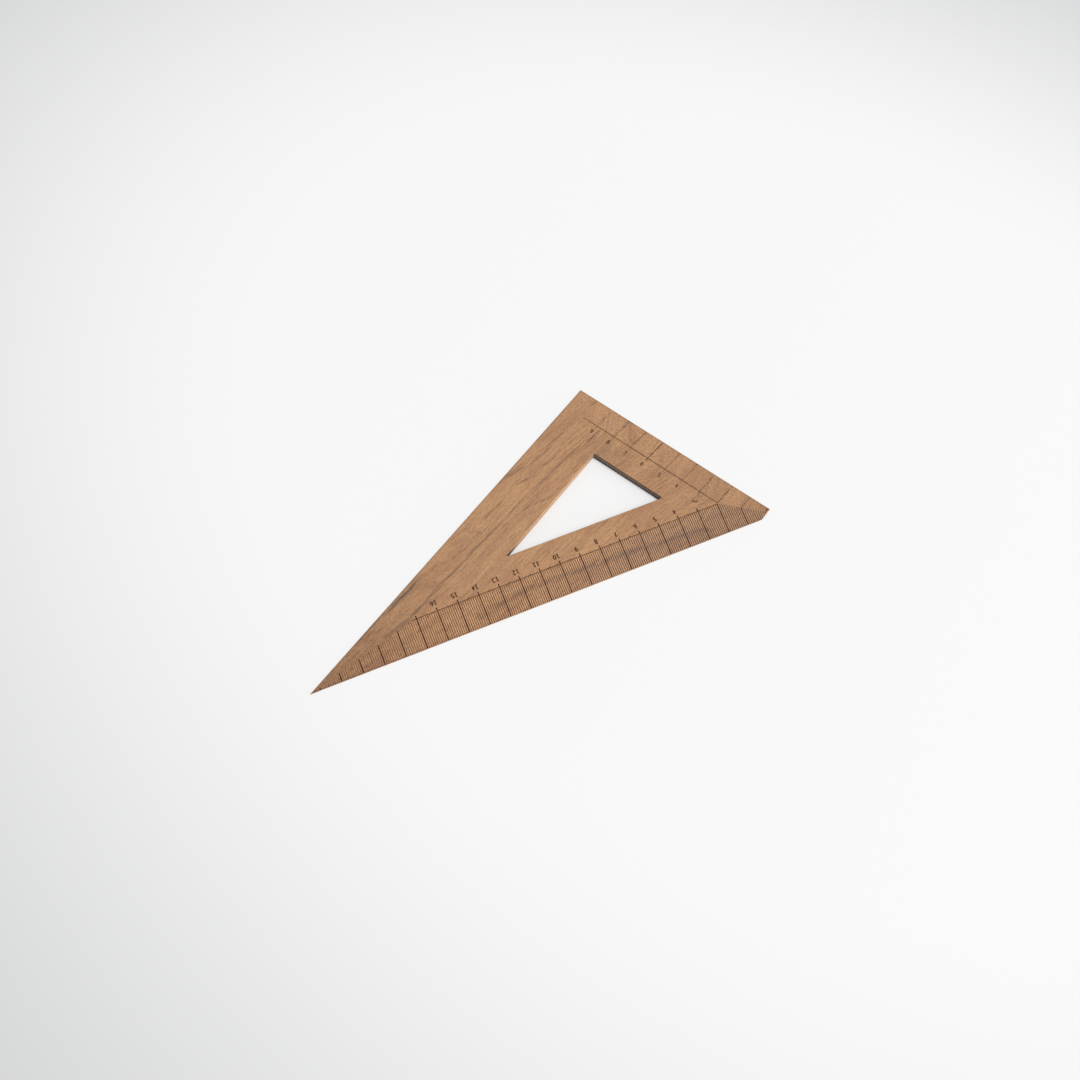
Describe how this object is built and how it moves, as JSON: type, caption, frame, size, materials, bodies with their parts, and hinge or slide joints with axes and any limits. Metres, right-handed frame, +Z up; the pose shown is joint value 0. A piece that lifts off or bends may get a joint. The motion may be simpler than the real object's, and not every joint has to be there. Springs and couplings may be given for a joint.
{
  "type": "set square",
  "caption": "Flat wooden 30/60/90 set square with three bevelled margins, a triangular window and centimetre scales along the slanted side and the short leg.",
  "frame": {"origin": "square corner on the underside, where the edges of the two legs meet", "axes": "+X along the long leg, +Y along the short leg, +Z up through the board to the marked face"},
  "size_m": [0.199, 0.111, 0.004],
  "materials": {
    "oiled_board": "thin matt oil on fine-grained brown wood",
    "burnt_marks": "burnt scale lines and numerals, matt"
  },
  "bodies": {
    "root": {"set_square_board": "oiled_board"}
  },
  "joints": []
}
